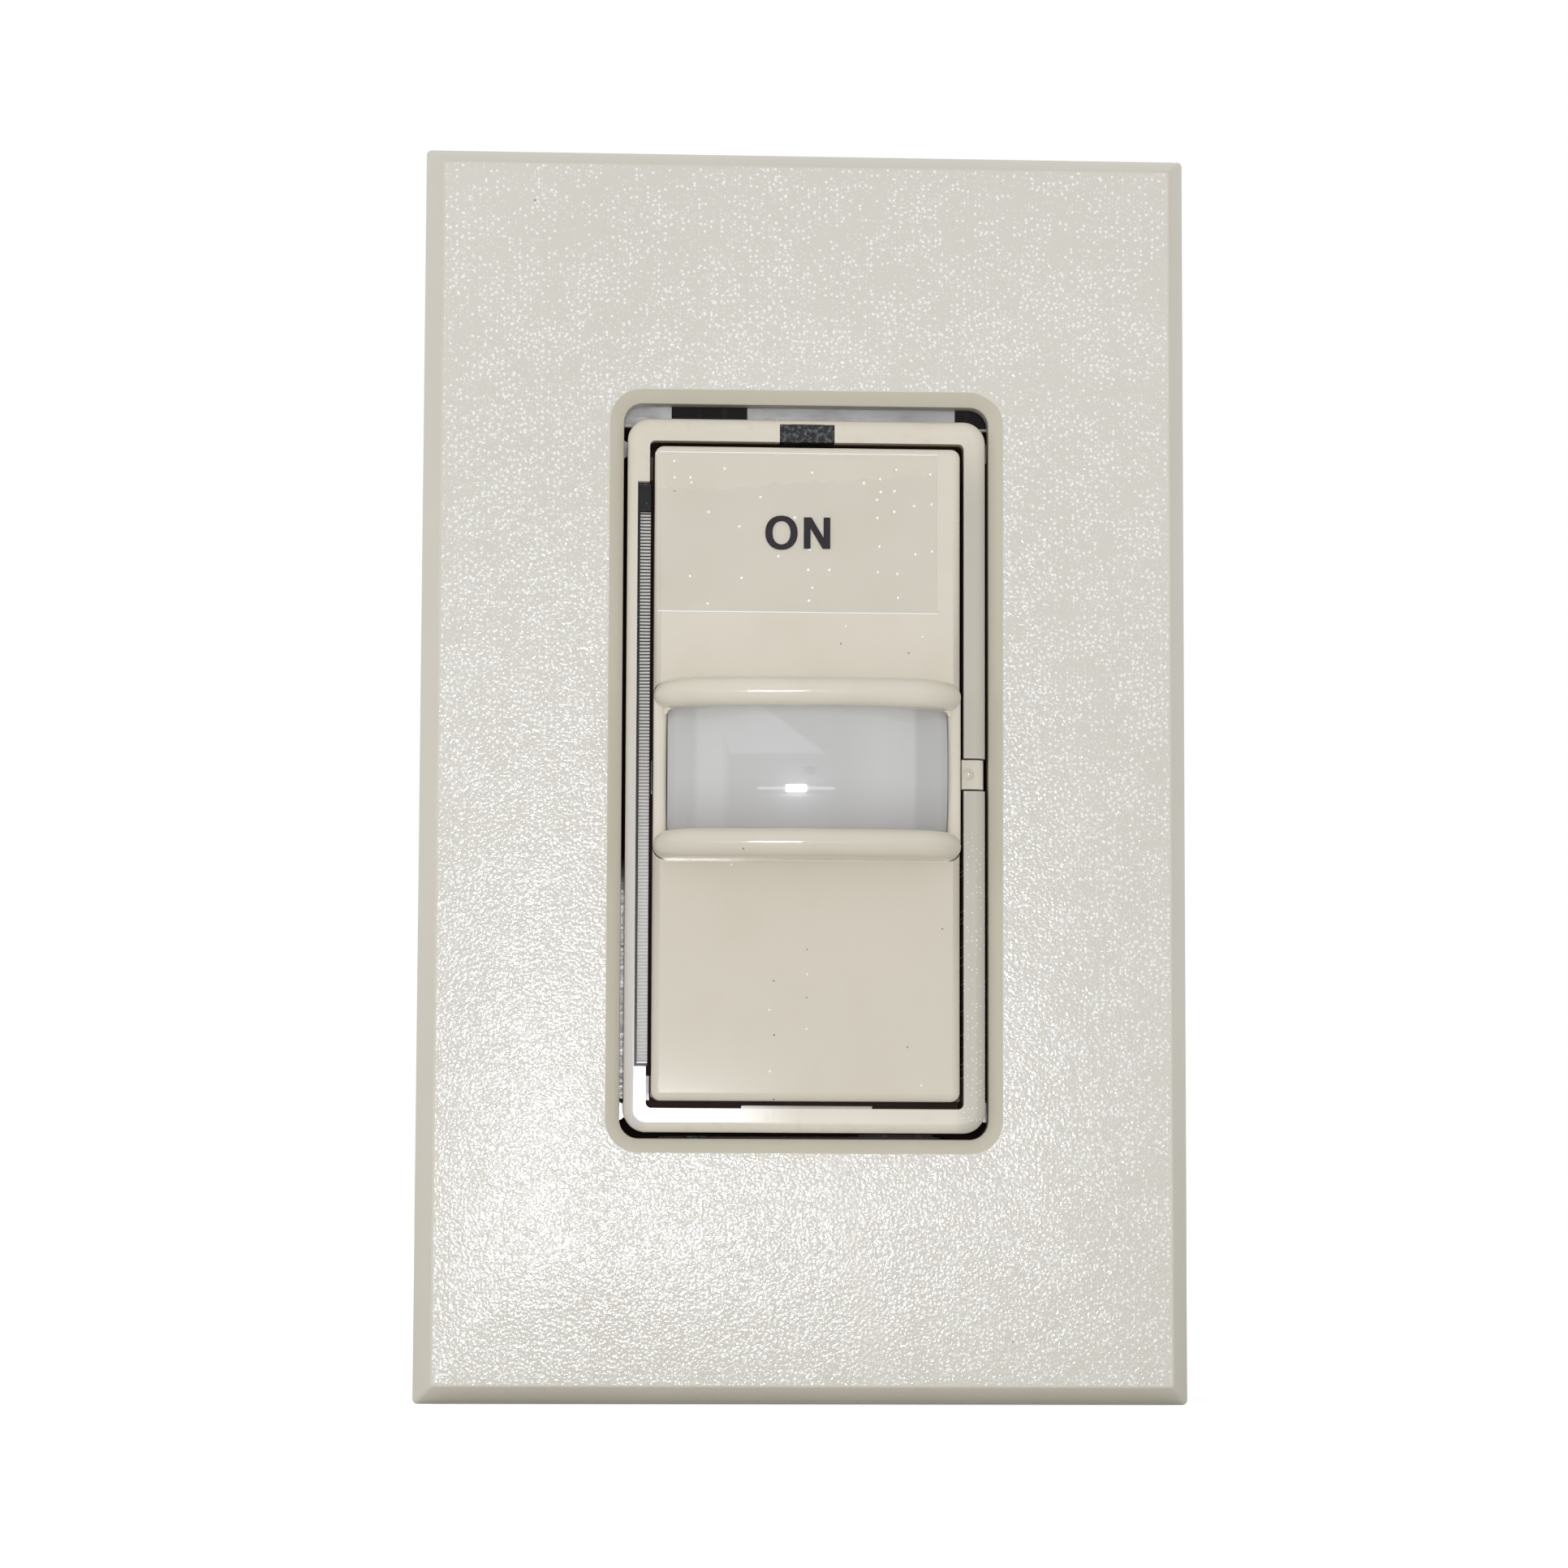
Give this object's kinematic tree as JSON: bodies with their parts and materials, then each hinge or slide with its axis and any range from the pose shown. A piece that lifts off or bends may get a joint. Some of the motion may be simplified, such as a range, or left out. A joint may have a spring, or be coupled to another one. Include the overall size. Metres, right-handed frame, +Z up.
{
  "type": "motion sensor light switch",
  "caption": "Wall light switch with a screwless bevelled plate and a rocker paddle that carries a curved motion sensor lens between two lips.",
  "frame": {"origin": "middle of the device on the wall plane, half-way between the two box screws", "axes": "+Z up the wall, +Y into the wall, +X to the right of a person who faces the switch"},
  "size_m": [0.0698, 0.0446, 0.1143],
  "materials": {
    "plate_pearl": "fine pebble grain with a pearly sheen",
    "almond_plastic": "smooth gloss, light almond",
    "steel": "zinc plated",
    "strap_metal": "zinc plated sheet",
    "green_screw": "green dyed plating",
    "clear_plastic": "clear moulded plastic, ribbed in front",
    "black_plastic": "black moulded plastic",
    "led_white": "lamp bodies",
    "smoked_plastic": "near-black polished, finely scratched",
    "lens_plastic": "milky moulded polyethylene",
    "white_plastic": "slippery acetal",
    "spring_steel": "bright wire",
    "board": "green solder mask",
    "can_metal": "nickel plated can",
    "infrared_filter": "dark polished filter",
    "relay_plastic": "blue moulded case",
    "capacitor_sleeve": "shrink sleeve",
    "transformer_tape": "yellow winding tape",
    "varistor_coat": "epoxy dip",
    "housing_plastic": "dark grey moulded plastic",
    "brass": "plain brass"
  },
  "bodies": {
    "switch_body": {"wall_plate": "plate_pearl", "plate_mounting_frame": "almond_plastic", "plate_screws": "steel", "mounting_strap": "strap_metal", "box_screws": "steel", "ground_screw": "green_screw", "bezel_frame": "almond_plastic", "bezel_screws": "steel", "deck_plate": "black_plastic", "light_bar": "clear_plastic", "light_bar_holder": "black_plastic", "bar_leds": "led_white", "photocell_window": "smoked_plastic", "photocell": "clear_plastic", "button_switch": "black_plastic", "spring_top": "spring_steel", "spring_bottom": "spring_steel", "rocker_switches": "black_plastic", "control_board": "board", "pir_holder": "black_plastic", "pir_sensor": "can_metal", "pir_window": "infrared_filter", "microcontroller": "black_plastic", "board_header": "black_plastic", "power_board": "board", "relay": "relay_plastic", "capacitors": "capacitor_sleeve", "transformer": "transformer_tape", "varistor": "varistor_coat", "fuse": "black_plastic", "rear_housing": "housing_plastic", "housing_screws": "steel", "terminal_plates": "brass", "terminal_screws": "brass"},
    "rocker": {"paddle": "almond_plastic", "sensor_lens": "lens_plastic", "lens_retainer": "black_plastic"},
    "upper_plunger": {"plunger_top": "white_plastic"},
    "lower_plunger": {"plunger_bottom": "white_plastic"},
    "button": {"service_button": "almond_plastic"}
  },
  "joints": [
    {"name": "paddle_rock", "type": "hinge", "parent": "switch_body", "child": "rocker", "pos_m": [0, -0.0034, 0], "axis": [-1, 0, 0], "range_deg": [-3, 3], "stiffness_Nm_per_rad": 0.3},
    {"name": "plunger_top_slide", "type": "slide", "parent": "switch_body", "child": "upper_plunger", "axis": [0, 1, 0], "range_m": [-0.0013, 0.0013], "deforming": ["spring_top"]},
    {"name": "plunger_bottom_slide", "type": "slide", "parent": "switch_body", "child": "lower_plunger", "axis": [0, 1, 0], "range_m": [-0.0013, 0.0013], "deforming": ["spring_bottom"]},
    {"name": "service_button_press", "type": "slide", "parent": "switch_body", "child": "button", "axis": [0, 1, 0], "range_m": [0, 0.0006], "stiffness_N_per_m": 300}
  ],
  "couplings": [
    {"joint": "plunger_top_slide", "follows": "paddle_rock", "m_per_rad": 0.022},
    {"joint": "plunger_bottom_slide", "follows": "paddle_rock", "m_per_rad": -0.022}
  ]
}
